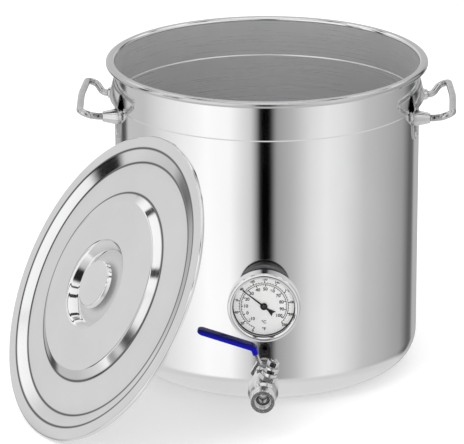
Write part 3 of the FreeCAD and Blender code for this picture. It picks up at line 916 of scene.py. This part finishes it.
# The high ring is what surfaces that lean back mirror
HIGH_BOXES = [
    (-180, 0.70), (-150, 0.74), (-137, 0.76), (-103, 0.80), (-100.5, 0.76), (-99, 0.02),
    (-91, 0.02), (-88.5, 1.10), (-77, 1.15), (-75.5, 0.40), (-72.5, 0.40), (-71, 0.75),
    (-68.5, 0.75), (-67, 0.08), (-63.5, 0.08), (-62, 1.12), (-57, 1.10), (-25, 1.10), (-9, 0.70),
    (-5, 0.02), (4, 0.02), (10, 0.45), (30, 0.80), (50, 1.00), (85, 0.62), (120, 0.50),
    (136, 0.45), (139, 0.08), (145, 0.08), (152, 0.60), (180, 0.70)]
# Brightness of the white overhead, its dark gaps, the skirting and the pale floor
WHITE = 1.15
GAP = 0.05
SKIRTING = 0.74
PALE = 0.80


def softboxes(tree, turn, stops):
    ramp = add(tree, "ShaderNodeValToRGB")
    elements = ramp.color_ramp.elements
    elements[1].position = 1.0
    for degrees, _ in stops[1:-1]:
        elements.new((degrees + 180) / 360)
    for element, (_, level) in zip(elements, stops):
        element.color = (level, level, level, 1)
    tree.links.new(turn, ramp.inputs["Fac"])
    return ramp.outputs["Color"]


def room_turn(tree, split):
    """The direction's turn about +Z from the front, as 0 to 1."""
    toward = add(tree, "ShaderNodeMath", operation="MULTIPLY")
    toward.inputs[1].default_value = -1.0
    tree.links.new(split.outputs["Y"], toward.inputs[0])
    around = add(tree, "ShaderNodeMath", operation="ARCTAN2")
    tree.links.new(split.outputs["X"], around.inputs[0])
    tree.links.new(toward.outputs[0], around.inputs[1])
    return map_range(tree, around.outputs[0], (-math.pi, math.pi), (0.0, 1.0))


def mix(tree, factor, one, two):
    """Blends two colours, each a socket or a grey level."""
    blend = add(tree, "ShaderNodeMix", data_type="RGBA")
    tree.links.new(factor, blend.inputs["Factor"])
    for socket, value in zip(colour_sockets(blend.inputs), (one, two)):
        if isinstance(value, float):
            socket.default_value = (value, value, value, 1)
        else:
            tree.links.new(value, socket)
    return colour_sockets(blend.outputs)[0]


def rise(tree, split, low, high):
    """0 to 1 as the direction's height passes from low to high."""
    return map_range(tree, split.outputs["Z"], (low, high), (0.0, 1.0), interpolation_type="SMOOTHSTEP")


def studio_world():
    """A studio fixed in the room: softboxes and dark gaps all round, white above, pale below.

    Only mirror images show it. Everything else is lit by, and seen against, plain white.
    """
    world = bpy.data.worlds.new("studio")
    bpy.context.scene.world = world
    world.use_nodes = True
    tree = world.node_tree
    background = tree.nodes["Background"]
    place = add(tree, "ShaderNodeTexCoord")
    split = add(tree, "ShaderNodeSeparateXYZ")
    tree.links.new(place.outputs["Generated"], split.inputs[0])
    turn = room_turn(tree, split)
    low_ring = softboxes(tree, turn, LOW_BOXES)
    high_ring = softboxes(tree, turn, HIGH_BOXES)
    sides = mix(tree, rise(tree, split, -0.22, -0.12), low_ring, high_ring)
    upper = mix(tree, rise(tree, split, 0.45, 0.60), sides, WHITE)
    gap = mix(tree, rise(tree, split, 0.655, 0.675), upper, GAP)
    overhead = mix(tree, rise(tree, split, 0.705, 0.725), gap, WHITE)
    high_gap = mix(tree, rise(tree, split, 0.86, 0.87), overhead, GAP)
    ceiling = mix(tree, rise(tree, split, 0.92, 0.93), high_gap, WHITE)
    skirting = mix(tree, rise(tree, split, -0.56, -0.44), SKIRTING, ceiling)
    room = mix(tree, rise(tree, split, -0.75, -0.62), PALE, skirting)
    seen = add(tree, "ShaderNodeLightPath")
    plain = mix(tree, seen.outputs["Is Glossy Ray"], 1.0, room)
    tree.links.new(plain, background.inputs["Color"])


def soft_light(name, place, target, size, watts):
    light = bpy.data.lights.new(name, "AREA")
    light.shape = "RECTANGLE"
    light.size, light.size_y = size
    light.energy = watts
    obj = new_object(name, light)
    obj.location = place
    obj.rotation_euler = (Vector(target) - Vector(place)).to_track_quat("-Z", "Y").to_euler()
    obj.visible_glossy = False


CAMERA_TURN = math.radians(1.0)
CAMERA_LOOKS_DOWN = math.radians(18.64)
CAMERA_DISTANCE = 20 * WALL_R
CAMERA_HEIGHT = 7.731 * WALL_R


def camera():
    """Nearly straight at the front, looking down as a person does from a few steps away."""
    data = bpy.data.cameras.new("camera")
    data.sensor_width = 36.0
    data.lens = 246.2
    data.shift_x = -0.0754
    data.shift_y = -0.0140
    data.clip_end = 100
    obj = new_object("camera", data)
    across = CAMERA_DISTANCE * math.sin(CAMERA_TURN)
    back = CAMERA_DISTANCE * math.cos(CAMERA_TURN)
    obj.location = (across, -back, CAMERA_HEIGHT)
    obj.rotation_euler = (math.radians(90) - CAMERA_LOOKS_DOWN, 0, CAMERA_TURN)
    bpy.context.scene.camera = obj


def studio():
    view = bpy.context.scene.view_settings
    view.view_transform = "Standard"
    view.look = "None"
    floor()
    studio_world()
    soft_light("key", place=(-1.6, -1.8, 2.6), target=(0, 0, 0.2), size=(1.8, 1.8), watts=22)
    soft_light("front_fill", place=(0.3, -2.6, 0.7), target=(0, 0, 0.12), size=(1.6, 1.2), watts=14)
    camera()


# With the lid and the lever, the pieces that the pot's wall doesn't mirror
UNREFLECTED = ("thermometer_bezel", "valve_body", "valve_end_cap", "gland_nut", "bulkhead_nipple",
               "nipple_thread", "outlet_thread")


def main():
    finishes = all_finishes()
    paint_cad_nodes(finishes)
    pot_wall(finishes)
    lid_sheet(finishes)
    knob_cap(finishes)
    lever_grip(finishes)
    threads(finishes)
    weld_beads(finishes)
    pointer_cap(finishes)
    dial_marks(finishes)
    dial_numbers(finishes)
    for obj in list(bpy.data.objects):
        if obj.get("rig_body") in ("lid", "valve_lever") or obj.name in UNREFLECTED:
            obj.visible_glossy = False
    studio()


main()
